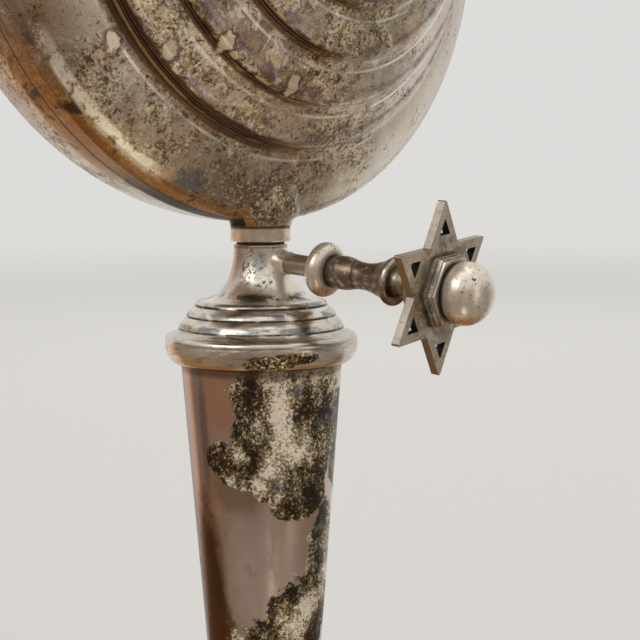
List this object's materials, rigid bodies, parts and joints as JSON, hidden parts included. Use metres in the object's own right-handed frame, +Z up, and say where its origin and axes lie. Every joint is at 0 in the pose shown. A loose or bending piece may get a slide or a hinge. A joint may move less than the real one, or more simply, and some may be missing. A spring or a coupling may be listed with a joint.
{
  "type": "curled metal shofar on a display stand",
  "caption": "Curled metal horn with a stepped round body, flared bell and upturned mouthpiece, plugged into a tapering column stand and clamped by a star-headed thumbscrew.",
  "frame": {"origin": "centre of the foot's flat underside, on the column's axis", "axes": "+Z up along the column, -Y towards the front, which the curl's stepped face looks to, +X to the right seen from the front"},
  "size_m": [0.2105, 0.1525, 0.4166],
  "materials": {
    "silver_plate": "worn silver plate over brass, tarnished in the hollows",
    "mottled_plate": "heavily tarnished, mottled silver plate with gold and purple tints",
    "speckled_plate": "silver plate with a black and gold speckled patch",
    "pale_plate": "pale, greenish worn silver plate",
    "bright_plate": "bright polished silver plate with dark lines",
    "pewter_grey_plate": "dull brownish grey plate with dark residue",
    "bare_brass": "bare turned brass",
    "bright_steel": "zinc-plated steel",
    "cast_weight": "rough cast iron",
    "green_baize": "green baize",
    "dark_leather": "blackened leather"
  },
  "bodies": {
    "stand": {"baize_pad": "green_baize", "base_plate": "bright_steel", "foot_weight": "cast_weight", "foot_shell": "silver_plate", "rod_washer": "bright_steel", "rod_nut": "bright_steel", "tie_rod": "bright_steel", "column_knop": "silver_plate", "column_tube": "speckled_plate", "shoulder_collar": "bright_plate", "neck": "pale_plate", "socket_bush": "bare_brass", "screw_boss": "pale_plate"},
    "shoe": {"clamp_shoe": "bare_brass"},
    "thumbscrew": {"spindle": "pewter_grey_plate", "star_plate": "pewter_grey_plate", "hex_boss": "pewter_grey_plate", "ball_finial": "pewter_grey_plate"},
    "plug_washer": {"seat_washer": "dark_leather"},
    "horn": {"stem": "bare_brass", "ferrule": "pale_plate", "saddle": "mottled_plate", "front_shell": "mottled_plate", "back_shell": "mottled_plate", "seam_ring": "bare_brass", "sound_tube": "bare_brass", "bell_throat": "bare_brass", "bell_flare": "silver_plate", "bell_rim": "silver_plate", "bell_band": "silver_plate", "mouthpipe": "silver_plate", "mouthpiece": "silver_plate"}
  },
  "joints": [
    {"name": "thumbscrew_travel", "type": "slide", "parent": "stand", "child": "shoe", "axis": [0.1161, -0.9883, -0.0993], "range_m": [0, 0.003]},
    {"name": "thumbscrew_turn", "type": "hinge", "parent": "shoe", "child": "thumbscrew", "pos_m": [0.00061, -0.00524, 0.19567], "axis": [0.1161, -0.9883, -0.0993], "range_deg": [0, 1080]},
    {"name": "horn_lift", "type": "slide", "parent": "stand", "child": "plug_washer", "axis": [0, 0, 1], "range_m": [0, 0.036]},
    {"name": "horn_turn", "type": "hinge", "parent": "plug_washer", "child": "horn", "pos_m": [0, 0, 0.2], "axis": [0, 0, 1], "continuous": true}
  ],
  "couplings": [
    {"joint": "thumbscrew_turn", "follows": "thumbscrew_travel", "rad_per_m": 6283.2}
  ]
}
